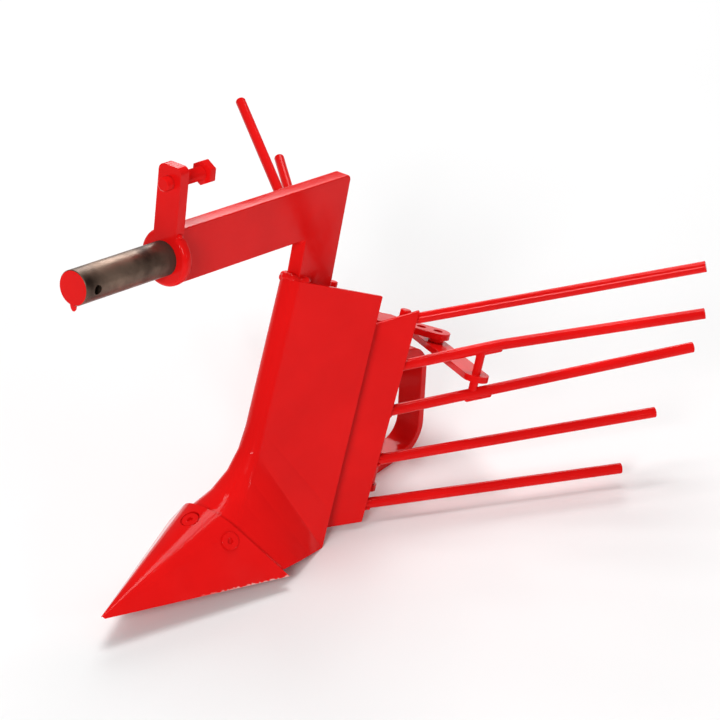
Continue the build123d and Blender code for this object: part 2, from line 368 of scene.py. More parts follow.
@dataclass(frozen=True)
class RedEnamel:
    """Glossy signal-red enamel, sprayed straight on steel."""

    name: str = "red_enamel"
    deep: Colour = (0.70, 0.0058, 0.0056)
    bright: Colour = (0.80, 0.0072, 0.0068)
    # noise values at which the paint is deep and bright
    tones: Pair = (0.35, 0.65)
    # lowest and highest roughness
    gloss: Pair = (0.08, 0.15)
    shine: float = 0.10
    # lumps and orange peel: height in metres, strength
    lumps: Pair = (0.0012, 0.05)
    peel: Pair = (0.0004, 0.05)
    # grain: grains per metre, octaves
    tone_grain: Pair = (11.0, 4.0)
    gloss_grain: Pair = (38.0, 5.0)
    lump_grain: Pair = (75.0, 2.0)
    peel_grain: Pair = (420.0, 1.0)

    def shade(self, graph: Graph) -> Socket:
        """Adds the paint's nodes.

        Args:
            graph: The material's graph.

        Returns:
            The paint's shader.
        """
        paint = graph.surface(Specular_IOR_Level=self.shine)
        tone = graph.ramp(graph.noise(*self.tone_grain), self.tones, (self.deep, self.bright))
        graph.link(tone, paint.inputs["Base Color"])
        graph.link(graph.span(graph.noise(*self.gloss_grain), *self.gloss), paint.inputs["Roughness"])
        lumps = graph.bump(graph.noise(*self.lump_grain), *self.lumps)
        peel = graph.bump(graph.noise(*self.peel_grain), *self.peel, lumps)
        graph.link(peel, paint.inputs["Normal"])
        return paint.outputs["BSDF"]

    def material(self) -> Material:
        """The paint as a material.

        Returns:
            The material.
        """
        graph = Graph(self.name)
        return graph.finish(self.shade(graph))


@dataclass(frozen=True)
class WornEnamel:
    """The enamel of the share, scuffed pale along its cutting edge."""

    corner: Vector
    pitch: float
    paint: RedEnamel = RedEnamel("share_enamel")
    scuffed: Colour = (0.80, 0.40, 0.36)
    roughness: float = 0.55
    # scuffed strip: its height, how far it frays and its length, in metres
    edge: float = 0.0012
    ragged: float = 0.0022
    rubbed_length: float = 0.085
    # the strip has gone at this many times its height, and is full over this share of its length
    edge_fade: float = 1.5
    full_length: float = 0.5
    # grains per metre, octaves
    grain: Pair = (320.0, 5.0)

    def material(self) -> Material:
        """The paint and its worn edge as a material.

        Returns:
            The material.
        """
        graph = Graph(self.paint.name)
        paint = self.paint.shade(graph)
        bare = graph.surface(Roughness=self.roughness)
        bare.inputs["Base Color"].default_value = (*self.scuffed, 1.0)
        local = graph.turned(self.pitch, self.corner)
        split = graph.add("ShaderNodeSeparateXYZ")
        graph.link(local, split.inputs["Vector"])
        uneven = graph.add("ShaderNodeMath", operation="MULTIPLY_ADD")
        graph.link(graph.span(graph.noise(*self.grain), 0.0, 1.0), uneven.inputs[0])
        uneven.inputs[1].default_value = self.ragged
        graph.link(split.outputs["Z"], uneven.inputs[2])
        low = graph.span(uneven.outputs["Value"], 1.0, 0.0, self.edge, self.edge * self.edge_fade)
        far = -self.rubbed_length
        near = graph.span(split.outputs["Y"], 0.0, 1.0, far, far * self.full_length)
        worn = graph.add("ShaderNodeMath", operation="MULTIPLY")
        graph.link(low, worn.inputs[0])
        graph.link(near, worn.inputs[1])
        return graph.finish(graph.mix(worn.outputs["Value"], paint, bare.outputs["BSDF"]))


@dataclass(frozen=True)
class TurnedSteel:
    """Bare turned bar, browned by oil, with paint on its end face, and rust and painted shade at the
    collar.
    """

    origin: Vector
    pitch: float
    name: str = "turned_steel"
    dark: Colour = (0.055, 0.033, 0.024)
    pale: Colour = (0.26, 0.175, 0.128)
    # noise values at which the steel is dark and pale
    tones: Pair = (0.36, 0.62)
    metallic: float = 0.9
    # lowest and highest roughness
    gloss: Pair = (0.30, 0.52)
    # turning marks: height in metres, strength, and how much closer they lie along the bar
    marks: Pair = (0.0003, 0.25)
    marks_squeeze: float = 9.0
    # painted end: its depth in metres, and at how many times that the paint has gone
    paint: RedEnamel = RedEnamel("shaft_end_enamel")
    painted_end: float = 0.0004
    end_fade: float = 1.2
    # dark band by the collar, partly rust and partly painted shade where the shaft goes into the collar:
    # distances from the shaft's end in metres
    rust_and_shade: Colour = (0.050, 0.018, 0.009)
    rust_and_shade_roughness: float = 0.75
    rust_and_shade_from: float = 0.096
    rust_and_shade_to: float = 0.110
    rust_and_shade_fade: float = 0.003
    # grain: grains per metre, octaves
    tone_grain: Pair = (26.0, 6.0)
    gloss_grain: Pair = (60.0, 3.0)
    mark_grain: Pair = (190.0, 1.0)
    rust_and_shade_grain: Pair = (55.0, 4.0)

    def material(self) -> Material:
        """The steel with its rust and painted shade at the collar, and its paint, as a material.

        Returns:
            The material.
        """
        graph = Graph(self.name)
        local = graph.turned(self.pitch, self.origin)
        squeeze = graph.add("ShaderNodeMapping")
        squeeze.inputs["Scale"].default_value = (1.0, self.marks_squeeze, 1.0)
        graph.link(local, squeeze.inputs["Vector"])
        steel = graph.surface(Metallic=self.metallic)
        tone = graph.ramp(graph.noise(*self.tone_grain, local), self.tones, (self.dark, self.pale))
        graph.link(tone, steel.inputs["Base Color"])
        gloss = graph.span(graph.noise(*self.gloss_grain, local), *self.gloss)
        graph.link(gloss, steel.inputs["Roughness"])
        turning = graph.bump(graph.noise(*self.mark_grain, squeeze.outputs["Vector"]), *self.marks)
        graph.link(turning, steel.inputs["Normal"])
        split = graph.add("ShaderNodeSeparateXYZ")
        graph.link(local, split.inputs["Vector"])
        along = split.outputs["Y"]
        end = graph.span(along, 1.0, 0.0, self.painted_end, self.painted_end * self.end_fade)
        # dark band by the collar: partly rust, partly painted shade where the shaft goes into the collar
        ragged = graph.add("ShaderNodeMath", operation="MULTIPLY_ADD")
        graph.link(graph.noise(*self.rust_and_shade_grain, local), ragged.inputs[0])
        ragged.inputs[1].default_value = self.rust_and_shade_to - self.rust_and_shade_from
        graph.link(along, ragged.inputs[2])
        start = self.rust_and_shade_from + self.rust_and_shade_fade
        rust_and_shade_mask = graph.span(ragged.outputs["Value"], 0.0, 1.0, start, self.rust_and_shade_to)
        rust_and_shade = graph.surface(Roughness=self.rust_and_shade_roughness)
        rust_and_shade.inputs["Base Color"].default_value = (*self.rust_and_shade, 1.0)
        steel_with_rust_and_shade = graph.mix(rust_and_shade_mask, steel.outputs["BSDF"], rust_and_shade.outputs["BSDF"])
        return graph.finish(graph.mix(end, steel_with_rust_and_shade, self.paint.shade(graph)))


@dataclass(frozen=True)
class StudioFloor:
    """Plain pale studio floor."""

    name: str = "studio_floor"
    tone: Colour = (0.93, 0.93, 0.93)
    # darker patches: their share of the tone, and the noise values of the darker and the full tone
    mottle: float = 0.985
    tones: Pair = (0.3, 0.7)
    roughness: float = 0.9
    shine: float = 0.1
    # grains per metre, octaves
    grain: Pair = (3.0, 2.0)

    def material(self) -> Material:
        """The floor as a material.

        Returns:
            The material.
        """
        graph = Graph(self.name)
        cover = graph.surface(Roughness=self.roughness, Specular_IOR_Level=self.shine)
        darker = tuple(self.mottle * c for c in self.tone)
        tone = graph.ramp(graph.noise(*self.grain), self.tones, (darker, self.tone))
        graph.link(tone, cover.inputs["Base Color"])
        return graph.finish(cover.outputs["BSDF"])


# Hand tools
class Bench:
    """Modelling steps that every sub-assembly uses."""

    # corners closer than this are one, and edges flatter than this are dissolved
    MERGE: float = 0.02 * MM
    FLAT: float = math.radians(0.2)
    # a face this near the middle plane, with at least this X in its normal, lies on it
    MIDDLE: float = 0.05 * MM
    FACING: float = 0.99

    @staticmethod
    def clear() -> None:
        """Leaves edit mode and deselects everything."""
        if bpy.context.mode != "OBJECT":
            bpy.ops.object.mode_set(mode="OBJECT")
        bpy.ops.object.select_all(action="DESELECT")

    @staticmethod
    def take(*objects: Piece) -> Piece:
        """Selects objects, the first one active.

        Args:
            *objects: What to select.

        Returns:
            The active object.
        """
        Bench.clear()
        for piece in objects:
            piece.select_set(True)
        bpy.context.view_layer.objects.active = objects[0]
        return objects[0]

    @staticmethod
    def added(name: str) -> Piece:
        """Names the primitive that was just added.

        Args:
            name: Its name.

        Returns:
            The new piece.
        """
        piece = bpy.context.active_object
        piece.name = piece.data.name = name
        return piece

    @staticmethod
    def join(*objects: Piece) -> Piece:
        """Joins objects into the first one.

        Args:
            *objects: What to join.

        Returns:
            The first object.
        """
        piece = Bench.take(*objects)
        if len(objects) > 1:
            bpy.ops.object.join()
        return piece

    @staticmethod
    def settle(piece: Piece) -> Piece:
        """Moves a piece's place into its mesh.

        Args:
            piece: The piece.

        Returns:
            The piece, at the origin.
        """
        Bench.take(piece)
        bpy.ops.object.transform_apply(location=True, rotation=True, scale=True)
        return piece

    @staticmethod
    def lay(piece: Piece, place: Vector, axis: Vector) -> Piece:
        """Moves a piece drawn along Z to its place.

        Args:
            piece: The piece.
            place: Where its origin goes.
            axis: Where its Z axis then points.

        Returns:
            The piece, at the origin.
        """
        piece.rotation_mode = "QUATERNION"
        piece.rotation_quaternion = axis.to_track_quat("Z", "Y")
        piece.location = place
        return Bench.settle(piece)

    @staticmethod
    def modify(piece: Piece, kind: str, **settings: object) -> None:
        """Adds a modifier and applies it.

        Args:
            piece: The piece.
            kind: The modifier's type.
            **settings: The modifier's properties.
        """
        Bench.take(piece)
        modifier = piece.modifiers.new(kind.title(), kind)
        for key, value in settings.items():
            setattr(modifier, key, value)
        bpy.ops.object.modifier_apply(modifier=modifier.name)

    @staticmethod
    def tidy_mesh(piece: Piece, flat: float | None = None) -> None:
        """Merges doubles, recalculates normals and, where asked, dissolves flat edges.

        Args:
            piece: The piece.
            flat: Largest angle that still counts as flat, in radians.
        """
        Bench.take(piece)
        bpy.ops.object.mode_set(mode="EDIT")
        bpy.ops.mesh.select_all(action="SELECT")
        bpy.ops.mesh.remove_doubles(threshold=Bench.MERGE)
        if flat is not None:
            bpy.ops.mesh.dissolve_limited(angle_limit=flat)
        bpy.ops.mesh.normals_make_consistent(inside=False)
        bpy.ops.object.mode_set(mode="OBJECT")

    @staticmethod
    def copy_nodes(name: str, *nodes: str) -> Piece:
        """Copies CAD nodes into one merged mesh.

        Args:
            name: The new piece's name.
            *nodes: The nodes to copy.

        Returns:
            The merged copy, at the origin.
        """
        copies = []
        for node in nodes:
            Bench.take(frame["nodes"][node])
            bpy.ops.object.duplicate()
            copy = bpy.context.active_object
            copy.parent = None
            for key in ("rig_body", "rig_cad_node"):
                del copy[key]
            bpy.ops.mesh.customdata_custom_splitnormals_clear()
            Bench.tidy_mesh(copy)
            copies.append(copy)
        first = Bench.unite(*copies)
        first.name = first.data.name = name
        return first

    @staticmethod
    def choose(piece: Piece, part: str, chosen: list[int]) -> None:
        """Opens a piece in edit mode with some of its edges or faces selected.

        Args:
            piece: The piece.
            part: EDGE or FACE.
            chosen: Their indices.
        """
        Bench.take(piece)
        bpy.ops.object.mode_set(mode="EDIT")
        bpy.ops.mesh.select_mode(type=part)
        bpy.ops.mesh.select_all(action="DESELECT")
        bpy.ops.object.mode_set(mode="OBJECT")
        parts = piece.data.edges if part == "EDGE" else piece.data.polygons
        for index in chosen:
            parts[index].select = True
        bpy.ops.object.mode_set(mode="EDIT")

    @staticmethod
    def fuse_halves(name: str, *nodes: str) -> Piece:
        """Copies CAD nodes that meet on the middle plane into one mesh without a seam.

        Args:
            name: The new piece's name.
            *nodes: The two halves.

        Returns:
            The fused copy.
        """
        halves = [Bench.copy_nodes(name, node) for node in nodes]
        for half in halves:
            inner = [face.index for face in half.data.polygons
                     if abs(face.normal.x) > Bench.FACING and abs(face.center.x) < Bench.MIDDLE]
            Bench.choose(half, "FACE", inner)
            bpy.ops.mesh.delete(type="FACE")
            bpy.ops.object.mode_set(mode="OBJECT")
        return Bench.join(*halves)

    @staticmethod
    def unite(first: Piece, *others: Piece, operation: str = "UNION") -> Piece:
        """Unites pieces with the first one, or cuts them from it, and removes them.

        Args:
            first: The piece that stays.
            *others: The other pieces.
            operation: The Boolean modifier's operation.

        Returns:
            The first piece.
        """
        for other in others:
            Bench.modify(first, "BOOLEAN", operation=operation, solver="EXACT", object=other)
            bpy.data.objects.remove(other)
        return first

    @staticmethod
    def soften(piece: Piece, radius: float, sharp: float = math.radians(34)) -> None:
        """Rounds the sharp edges of a piece as thick paint does.

        Args:
            piece: The piece.
            radius: The rounding in metres.
            sharp: Smallest edge angle that is rounded, in radians.
        """
        Bench.tidy_mesh(piece, flat=Bench.FLAT)
        Bench.modify(piece, "BEVEL", width=radius, segments=2, limit_method="ANGLE", angle_limit=sharp,
                     use_clamp_overlap=True, miter_outer="MITER_ARC")
        Bench.polish(piece)

    @staticmethod
    def polish(piece: Piece) -> None:
        """Shades a piece smooth, its flats flat.

        Args:
            piece: The piece.
        """
        Bench.take(piece)
        bpy.ops.object.shade_smooth()
        Bench.modify(piece, "WEIGHTED_NORMAL", weight=90, keep_sharp=False)

    @staticmethod
    def dress(piece: Piece, material: Material, body: str, *nodes: str, slot: Slot = Slot.PAINT) -> None:
        """Gives a piece its finish, its body and the nodes that it stands for.

        Args:
            piece: The piece.
            material: Its finish.
            body: The CAD body that it rides on.
            *nodes: CAD nodes that it replaces.
            slot: The record's material slot; not used.
        """
        piece.data.materials.clear()
        piece.data.materials.append(material)
        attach(piece, body)
        if nodes:
            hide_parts(*nodes)
        LOG.info("%s on %s, %d faces", piece.name, body, len(piece.data.polygons))

    @staticmethod
    def paint_node(node: str, paint: Material, body: str, edge: float) -> None:
        """Models a CAD node as a softened, painted piece.

        Args:
            node: The CAD node.
            paint: Its finish.
            body: The CAD body that it rides on.
            edge: The rounding of its edges in millimetres.
        """
        piece = Bench.copy_nodes(f"{node}_painted", node)
        Bench.soften(piece, edge * MM)
        Bench.dress(piece, paint, body, node)


@dataclass(frozen=True)
class WeldBead:
    """A run of overlapping weld ripples along a line of points, in metres.

    The ripples sway from side to side by a share of their radius, a step further at each one.
    """

    radius: float
    pitch: float = 3.0 * MM
    sway: float = 0.16
    swing: float = 2.4
    voxel: float = 0.9 * MM

    def ripples(self, points: list[Vector]) -> list[tuple[Vector, Vector]]:
        """Places and headings of the ripples.

        Args:
            points: Corners of the line.

        Returns:
            Each ripple's centre and direction.
        """
        found = []
        for start, end in zip(points, points[1:]):
            run = end - start
            count = max(1, round(run.length / self.pitch))
            found += [(start + run * (i / count), run.normalized()) for i in range(count)]
        return found + [(points[-1], (points[-1] - points[-2]).normalized())]

    def lay(self, name: str, lines: Lines) -> Piece:
        """Models the bead from copies of one ripple, fused together.

        Args:
            name: The bead's name.
            lines: The lines that it follows.

        Returns:
            The bead.
        """
        Bench.clear()
        places = [place for line in lines for place in self.ripples(line)]
        first, _ = places[0]
        bpy.ops.mesh.primitive_uv_sphere_add(segments=10, ring_count=6, radius=self.radius, location=first)
        bead = Bench.added(name)
        bpy.ops.object.transform_apply(location=True, rotation=False, scale=False)
        bpy.ops.object.mode_set(mode="EDIT")
        bpy.ops.mesh.select_all(action="SELECT")
        for index, ((here, _), (there, heading)) in enumerate(zip(places, places[1:])):
            reach = heading.orthogonal().normalized() * self.radius * self.sway
            side = reach * math.sin(self.swing * index)
            last = reach * math.sin(self.swing * (index - 1)) if index else Vector()
            bpy.ops.mesh.duplicate_move(TRANSFORM_OT_translate={"value": there - here + side - last})
        Bench.modify(bead, "REMESH", mode="VOXEL", voxel_size=self.voxel)
        Bench.modify(bead, "SMOOTH", factor=0.5, iterations=2)
        bpy.ops.object.shade_smooth()
        return bead


@dataclass(frozen=True)
class SocketScrew:
    """A countersunk socket screw, sunk a little below the plate that it holds, in millimetres."""

    head_radius: float = 7.8
    seat_radius: float = 8.9
    sink: float = 1.0
    seat_depth: float = 3.2
    socket_radius: float = 2.9
    socket_depth: float = 2.6
    # how far the cutter of the seat stands out of the plate
    clear: float = 3.0
    round_sides: int = 48
    socket_sides: int = 6

    @staticmethod
    def cylinder(radius: float, top: float, depth: float, sides: int) -> Piece:
        """An upright cylinder that hangs from a height, in millimetres.

        Args:
            radius: Its radius.
            top: Height of its top.
            depth: How far it hangs down.
            sides: Number of its sides.

        Returns:
            The cylinder.
        """
        Bench.clear()
        middle = (0, 0, (top - depth / 2) * MM)
        bpy.ops.mesh.primitive_cylinder_add(vertices=sides, radius=radius * MM, depth=depth * MM,
                                            location=middle)
        return Bench.settle(Bench.added("turned"))

    def drive(self, name: str, plate: Piece, place: Vector, normal: Vector) -> Piece:
        """Cuts the seat into the plate and models the screw in it.

        Args:
            name: The screw's name.
            plate: The plate, which is cut.
            place: Where the screw's axis meets the plate.
            normal: The plate's outward normal there.

        Returns:
            The screw.
        """
        seat = self.cylinder(self.seat_radius, self.clear, self.clear + self.seat_depth, self.round_sides)
        Bench.unite(plate, Bench.lay(seat, place, normal), operation="DIFFERENCE")
        head = self.cylinder(self.head_radius, -self.sink, self.seat_depth, self.round_sides)
        socket = self.cylinder(self.socket_radius, 0.0, self.sink + self.socket_depth, self.socket_sides)
        Bench.unite(head, socket, operation="DIFFERENCE")
        head.name = head.data.name = name
        return Bench.lay(head, place, normal)


# Sub-assemblies
@dataclass
class Hitch:
    """Hitch shaft, lever with collar, and the set bolt. Sizes are in millimetres."""

    layout: Layout
    paint: Material
    body: str = "frame"
    shaft_radius: float = 15.0
    shaft_edge: float = 0.4
    lever_edge: float = 0.9
    collar_radius: float = 25.0
    collar_round: float = 4.0
    # a collar corner lies within this of the radius, and both ends of a rim edge within this level
    rim_play: float = 0.2
    rim_level: float = 0.1
    # lever weld: how far from the middle, height, first and last place along the bar
    lever_weld: tuple[float, float, float, float] = (12.6, 21.6, 112.0, 114.0)
    lever_bead: float = 2.6
    bolt_radius: float = 6.0
    bolt_root: float = 0.82
    bolt_start: float = 100.0
    bolt_length: float = 48.0
    bolt_head: float = 7.5
    bolt_across_flats: float = 19.0
    bolt_height: float = 66.0
    bolt_edge: float = 0.5
    # bolt head: how far its top is inset, and how far that stands up
    bolt_crown: Pair = (1.4, 0.5)
    thread_pitch: float = 2.0
    # paint drip: half its width, depth and height
    drip: Point = (3.2, 2.4, 6.0)
    drip_back: float = 2.6
    drip_uneven: float = 0.2

    def build(self) -> None:
        """Models and dresses the hitch."""
        steel = TurnedSteel(self.layout.origin, math.asin(self.layout.bar_back.z)).material()
        shaft = Bench.copy_nodes("hitch_shaft_turned", "hitch_shaft")
        Bench.soften(shaft, self.shaft_edge * MM)
        Bench.dress(shaft, steel, self.body, "hitch_shaft", slot=Slot.STEEL)
        lever = Bench.copy_nodes("lever_painted", "lever")
        self.round_collar(lever)
        Bench.soften(lever, self.lever_edge * MM)
        Bench.dress(lever, self.paint, self.body, "lever")
        Bench.dress(self.bolt(), self.paint, self.body, "set_bolt")
        x, z, *ends = self.lever_weld
        flanks = [[self.layout.bar(s * x, y, z) for y in ends] for s in (-1, 1)]
        weld = WeldBead(self.lever_bead * MM).lay("lever_weld", flanks)
        Bench.dress(weld, self.paint, self.body)
        Bench.dress(self.paint_drip(), self.paint, self.body)

    def round_collar(self, lever: Piece) -> None:
        """Rounds both rims of the lever's collar, as its weld and paint do.

        Args:
            lever: The lever, whose mesh is changed.
        """
        Bench.tidy_mesh(lever, flat=Bench.FLAT)
        places = [self.layout.on_bar(corner.co) for corner in lever.data.vertices]
        inside = self.collar_radius - self.rim_play
        rim = [math.hypot(p.x, p.z) > inside and p.z < self.collar_radius for p in places]
        edges = []
        for edge in lever.data.edges:
            start, end = edge.vertices
            if rim[start] and rim[end] and abs(places[start].y - places[end].y) < self.rim_level:
                edges.append(edge.index)
        Bench.choose(lever, "EDGE", edges)
        bpy.ops.mesh.bevel(offset=self.collar_round * MM, segments=5, affect="EDGES", clamp_overlap=True)
        bpy.ops.object.mode_set(mode="OBJECT")

    def bolt_thread(self) -> Piece:
        """The bolt's rolled thread, drawn along Z.

        Returns:
            The thread.
        """
        Bench.clear()
        root = self.bolt_radius * MM * self.bolt_root
        bpy.ops.mesh.primitive_circle_add(vertices=32, radius=root, fill_type="NGON")
        thread = Bench.added("set_bolt_threaded")
        bpy.ops.object.mode_set(mode="EDIT")
        bpy.ops.mesh.select_all(action="SELECT")
        turns = int(self.bolt_length / self.thread_pitch)
        flank = (0, 0, self.bolt_length * MM / (2 * turns))
        for step in range(2 * turns):
            bpy.ops.mesh.extrude_region_move(TRANSFORM_OT_translate={"value": flank})
            grow = 1 / self.bolt_root if step % 2 == 0 else self.bolt_root
            bpy.ops.transform.resize(value=(grow, grow, 1))
        Bench.tidy_mesh(thread)
        return thread

    def bolt_top(self) -> Piece:
        """The bolt's hexagon head, drawn along Z above the thread.

        Returns:
            The head.
        """
        Bench.clear()
        across_corners = self.bolt_across_flats / 2 / math.cos(math.pi / 6) * MM
        middle = (0, 0, (self.bolt_length + self.bolt_head / 2) * MM)
        bpy.ops.mesh.primitive_cylinder_add(vertices=6, radius=across_corners, depth=self.bolt_head * MM,
                                            location=middle)
        head = Bench.added("bolt_head")
        top = max(head.data.polygons, key=lambda face: face.center.z)
        Bench.choose(head, "FACE", [top.index])
        inset, rise = self.bolt_crown
        bpy.ops.mesh.inset(thickness=inset * MM)
        bpy.ops.transform.translate(value=(0, 0, rise * MM))
        Bench.modify(head, "BEVEL", width=self.bolt_edge * MM, segments=2, limit_method="ANGLE",
                     angle_limit=math.radians(20))
        return head

    def bolt(self) -> Piece:
        """The set bolt, laid along the bar.

        Returns:
            The bolt.
        """
        bolt = Bench.join(self.bolt_thread(), self.bolt_top())
        Bench.lay(bolt, self.layout.bar(0, self.bolt_start, self.bolt_height), self.layout.bar_back)
        bpy.ops.object.shade_smooth_by_angle(angle=math.radians(30))
        return bolt

    def paint_drip(self) -> Piece:
        """The drop of paint that hangs from the shaft's painted end face.

        Returns:
            The drop.
        """
        Bench.clear()
        place = self.layout.bar(0, self.drip_back, -self.shaft_radius)
        bpy.ops.mesh.primitive_uv_sphere_add(segments=20, ring_count=12, radius=1.0, location=place)
        drop = Bench.added("paint_drip")
        drop.scale = [size * MM for size in self.drip]
        Bench.settle(drop)
        bpy.ops.object.mode_set(mode="EDIT")
        bpy.ops.mesh.select_all(action="SELECT")
        bpy.ops.transform.vertex_random(offset=self.drip_uneven * MM, seed=3)
        Bench.modify(drop, "SUBSURF", levels=1, render_levels=1)
        bpy.ops.object.shade_smooth()
        return drop


@dataclass
class RidgingBody:
    """Beam, mouldboards, share, yokes, hinge pins and rear brace. Sizes are in millimetres."""

    layout: Layout
    paint: Material
    body: str = "frame"
    bar_half: float = 7.0
    bar_half_height: float = 24.5
    collar_back: float = 118.0
    edge_radius: float = 0.9
    boards_edge: float = 0.6
    share_edge: float = 0.5
    screw_edge: float = 0.3
    bar_weld: float = 3.4
    cap_weld: float = 4.0
    cap_sway: float = 0.3
    plate_weld: float = 2.4
    # bar bead: how far its middle stands off the collar and off the bar
    bar_weld_out: Pair = (0.6, 0.4)
    corner_out: float = 1.0
    # share gap: how far the boards are cut back from the share, along and across it
    share_gap: Point = (0.0, 1.6, -3.4)
    # cutting edge: its rear corner and its tip on the middle plane
    cutting_edge: tuple[Point, Point] = ((0.0, 232.6, -308.7), (0.0, 63.0, -322.0))
    # shank: its lean, and how far it is moved up along it, so that its top runs into the drawbar
    shank_lean: float = math.radians(7.3)
    shank_rise: float = 7.0
    shank_front: float = 290.3
    nose_top: Pair = (277.5, -59.0)
    top_slope: float = math.radians(15.5)
    # cap rows: distance behind the nose, half width
    cap_rows: tuple[Pair, ...] = ((3.5, 3.5), (6.0, 7.0), (8.5, 9.0), (11.0, 10.0), (14.0, 11.0))
    cap_lift: float = 1.0
    # yoke or strap: height of its top face, its thickness, front of the bead and rear of the shank,
    # on the leaning axes
    crossings: tuple[tuple[float, float, float, float], ...] = (
        (-40.0, 6.0, 340.5, 344.4), (-194.0, 6.0, 346.5, 354.4), (-80.5, 8.0, 342.5, 347.0))
    # crossing bead: how far its middle stands off the shank and off the plate
    cross_out: Pair = (1.0, 0.5)
    # screw: place and normal on the drawbar axes
    screws: dict[str, tuple[Point, Point]] = field(default_factory=lambda: {
        "share_screw_left": ((34.0, 191.6, -275.0), (0.77, -0.39, 0.50)),
        "share_screw_right": ((-4.3, 178.9, -263.7), (-0.12, -0.45, 0.89)),
    })
    plain_nodes: tuple[str, ...] = (
        "yoke_upper", "yoke_lower", "brace", "hinge_pin_left", "hinge_pin_right")

    def build(self) -> None:
        """Models and dresses the body."""
        share_paint = self.worn_paint()
        self.beam()
        share = Bench.copy_nodes("share_painted", "share")
        self.boards()
        for name, (place, normal) in self.screws.items():
            axis = (self.layout.bar(*normal) - self.layout.origin).normalized()
            screw = SocketScrew().drive(name, share, self.layout.bar(*place), axis)
            Bench.soften(screw, self.screw_edge * MM)
            Bench.dress(screw, self.paint, self.body)
        Bench.soften(share, self.share_edge * MM)
        Bench.dress(share, share_paint, self.body, "share")
        for node in self.plain_nodes:
            Bench.paint_node(node, self.paint, self.body, self.edge_radius)
        self.weld()

    def worn_paint(self) -> Material:
        """The share's enamel, worn along its cutting edge.

        Returns:
            The material.
        """
        corner, tip = (self.layout.bar(*point) for point in self.cutting_edge)
        edge = corner - tip
        return WornEnamel(corner, math.atan2(edge.z, edge.y)).material()

    def beam(self) -> None:
        """Models and dresses the drawbar and the shank as one piece."""
        shank = Bench.copy_nodes("shank_copy", "shank")
        lean = self.layout.bar(0, math.sin(self.shank_lean), math.cos(self.shank_lean))
        shank.location = (lean - self.layout.origin) * self.shank_rise
        beam = Bench.unite(Bench.copy_nodes("beam_painted", "drawbar"), Bench.settle(shank))
        Bench.soften(beam, self.edge_radius * MM)
        Bench.dress(beam, self.paint, self.body, "drawbar", "shank")

    def boards(self) -> None:
        """Models and dresses the mouldboards, without a seam and with a gap behind the share."""
        boards = Bench.fuse_halves("mouldboards_painted", "mouldboard_left", "mouldboard_right")
        Bench.soften(boards, self.boards_edge * MM)
        gap = Bench.copy_nodes("share_gap", "share")
        gap.location = self.layout.bar(*self.share_gap) - self.layout.origin
        Bench.unite(boards, Bench.settle(gap), operation="DIFFERENCE")
        Bench.tidy_mesh(boards)
        Bench.polish(boards)
        Bench.dress(boards, self.paint, self.body, "mouldboard_left", "mouldboard_right")

    def weld(self) -> None:
        """Lays the beads between the collar, the bar and the plates."""
        crossings = [line for row in self.crossings for line in self.cross_lines(*row)]
        beads = (
            WeldBead(self.bar_weld * MM).lay("bar_weld", self.bar_lines()),
            WeldBead(self.cap_weld * MM, sway=self.cap_sway).lay("nose_cap_weld", [self.cap_line()]),
            WeldBead(self.plate_weld * MM).lay("yoke_weld", crossings),
        )
        for bead in beads:
            Bench.dress(bead, self.paint, self.body)

    def bar_lines(self) -> Lines:
        """Lines round the bar behind the collar, and in the corner between the bar and the shank.

        Returns:
            The two lines.
        """
        bar, half, out = self.layout.bar, self.bar_half_height, self.corner_out
        behind, aside = self.bar_weld_out
        y, x = self.collar_back + behind, self.bar_half + aside
        low = self.bar_weld - half
        around = [bar(x, y, low), bar(x, y, half), bar(-x, y, half), bar(-x, y, low)]
        reach = self.bar_half - self.bar_weld
        return [around, [bar(s * reach, self.shank_front - out, -half - out) for s in (-1, 1)]]

    def cap_line(self) -> list[Vector]:
        """A line to and fro over the top of the nose.

        Returns:
            The line.
        """
        nose_y, nose_z = self.nose_top
        line = []
        for index, (behind, wide) in enumerate(self.cap_rows):
            y = nose_y + behind * math.cos(self.top_slope)
            z = nose_z + self.cap_lift - behind * math.sin(self.top_slope)
            row = [self.layout.bar(s * wide, y, z) for s in (-1, 1)]
            line += row if index % 2 else row[::-1]
        return line

    def cross_lines(self, top: float, thickness: float, front: float, rear: float) -> Lines:
        """Lines round the back of the shank, above and below a plate that crosses it.

        Args:
            top: Height of the plate's top face.
            thickness: Thickness of the plate.
            front: Front end of the bead.
            rear: Rear edge of the shank.

        Returns:
            The two lines.
        """
        out, off = self.cross_out
        x, back = self.bar_half + out, rear + out
        corners = ((x, front), (x, back), (-x, back), (-x, front))
        levels = (top + off, top - thickness - off)
        return [[self.layout.lean(*corner, w) for corner in corners] for w in levels]


